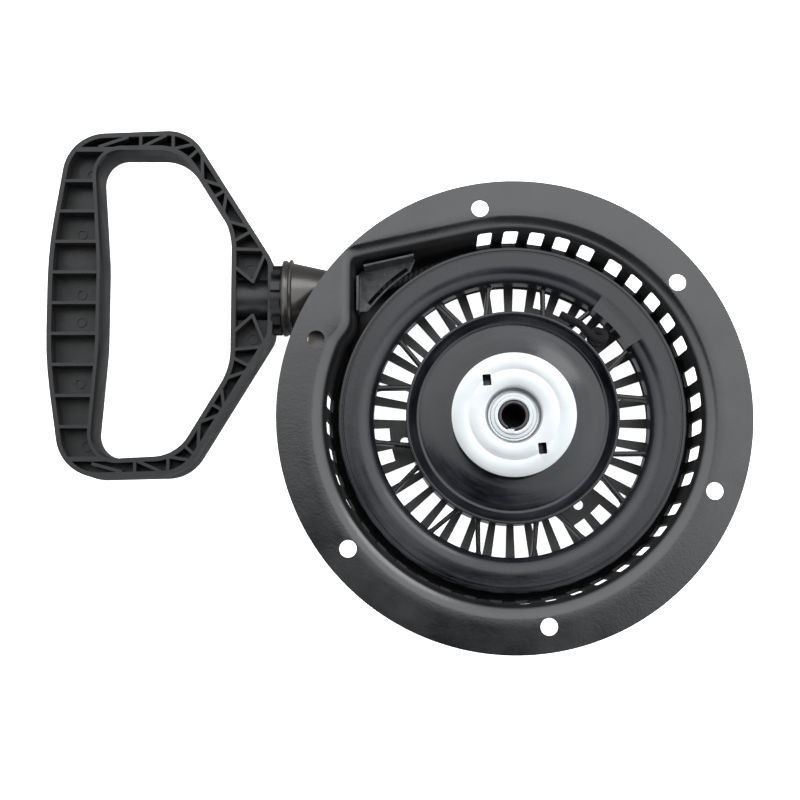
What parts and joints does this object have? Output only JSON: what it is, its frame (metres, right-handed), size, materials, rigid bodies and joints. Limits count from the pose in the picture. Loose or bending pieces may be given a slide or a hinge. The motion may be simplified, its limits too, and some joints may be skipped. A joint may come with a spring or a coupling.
{
  "type": "recoil starter",
  "caption": "Pull-rope recoil starter: vented pressed-steel housing with bolting flange, rope pulley with dogs under a plated retainer, rope guide and open ribbed grip.",
  "frame": {"origin": "pulley axis at the rear face of the housing", "axes": "+Z along the pulley axis towards the engine; +X away from the handle, the rope pulls out along -X; +Y towards the side of the rope guide"},
  "size_m": [0.3357, 0.2521, 0.0462],
  "materials": {
    "housing_paint": "satin black paint",
    "pulley_plastic": "moulded glass-filled nylon",
    "guide_plastic": "moulded nylon",
    "handle_plastic": "moulded nylon",
    "zinc_plate": "bright zinc plate",
    "plain_steel": "oiled steel",
    "spring_steel": "blued spring steel",
    "rope_fibre": "braided nylon"
  },
  "bodies": {
    "housing": {"housing": "housing_paint", "rope_guide": "guide_plastic", "rope_guide_plate": "housing_paint", "centre_post": "plain_steel", "spring_pin": "spring_steel", "retainer_washer": "zinc_plate", "thrust_washer": "plain_steel", "brake_spring": "spring_steel", "rope_run": "rope_fibre"},
    "pulley": {"pulley": "pulley_plastic", "rope_on_pulley": "rope_fibre", "pulley_knot": "rope_fibre", "rope_tail": "rope_fibre", "recoil_spring": "spring_steel", "spring_keeper": "plain_steel", "dog_spring_a": "spring_steel", "dog_spring_b": "spring_steel"},
    "retainer": {"retainer": "zinc_plate"},
    "dog_a": {"dog_a": "plain_steel"},
    "dog_b": {"dog_b": "plain_steel"},
    "handle": {"handle": "handle_plastic", "handle_washer": "plain_steel", "handle_knot": "rope_fibre"}
  },
  "joints": [
    {"name": "pulley_spin", "type": "hinge", "parent": "housing", "child": "pulley", "pos_m": [0, 0, 0.02], "axis": [0, 0, 1], "range_deg": [0, 1440], "stiffness_Nm_per_rad": 0.13, "springref_deg": -458.37, "deforming": ["recoil_spring"]},
    {"name": "handle_pull", "type": "slide", "parent": "housing", "child": "handle", "axis": [-1, 0, 0], "range_m": [0, 1.8725], "deforming": ["rope_run"]},
    {"name": "retainer_lag", "type": "hinge", "parent": "pulley", "child": "retainer", "pos_m": [0, 0, 0.045], "axis": [0, 0, -1], "range_deg": [0, 22.5], "stiffness_Nm_per_rad": 0.05, "springref_deg": -28.65},
    {"name": "dog_a_swing", "type": "hinge", "parent": "pulley", "child": "dog_a", "pos_m": [0.01615, 0.01262, 0.0406], "axis": [0, 0, -1], "range_deg": [0, 45.1], "deforming": ["dog_spring_a"]},
    {"name": "dog_b_swing", "type": "hinge", "parent": "pulley", "child": "dog_b", "pos_m": [-0.01615, -0.01262, 0.0406], "axis": [0, 0, -1], "range_deg": [0, 45.1], "deforming": ["dog_spring_b"]}
  ],
  "couplings": [
    {"joint": "handle_pull", "follows": "pulley_spin", "m_per_rad": 0.0745},
    {"joint": "dog_a_swing", "follows": "retainer_lag", "ratio": 2},
    {"joint": "dog_b_swing", "follows": "retainer_lag", "ratio": 2}
  ]
}
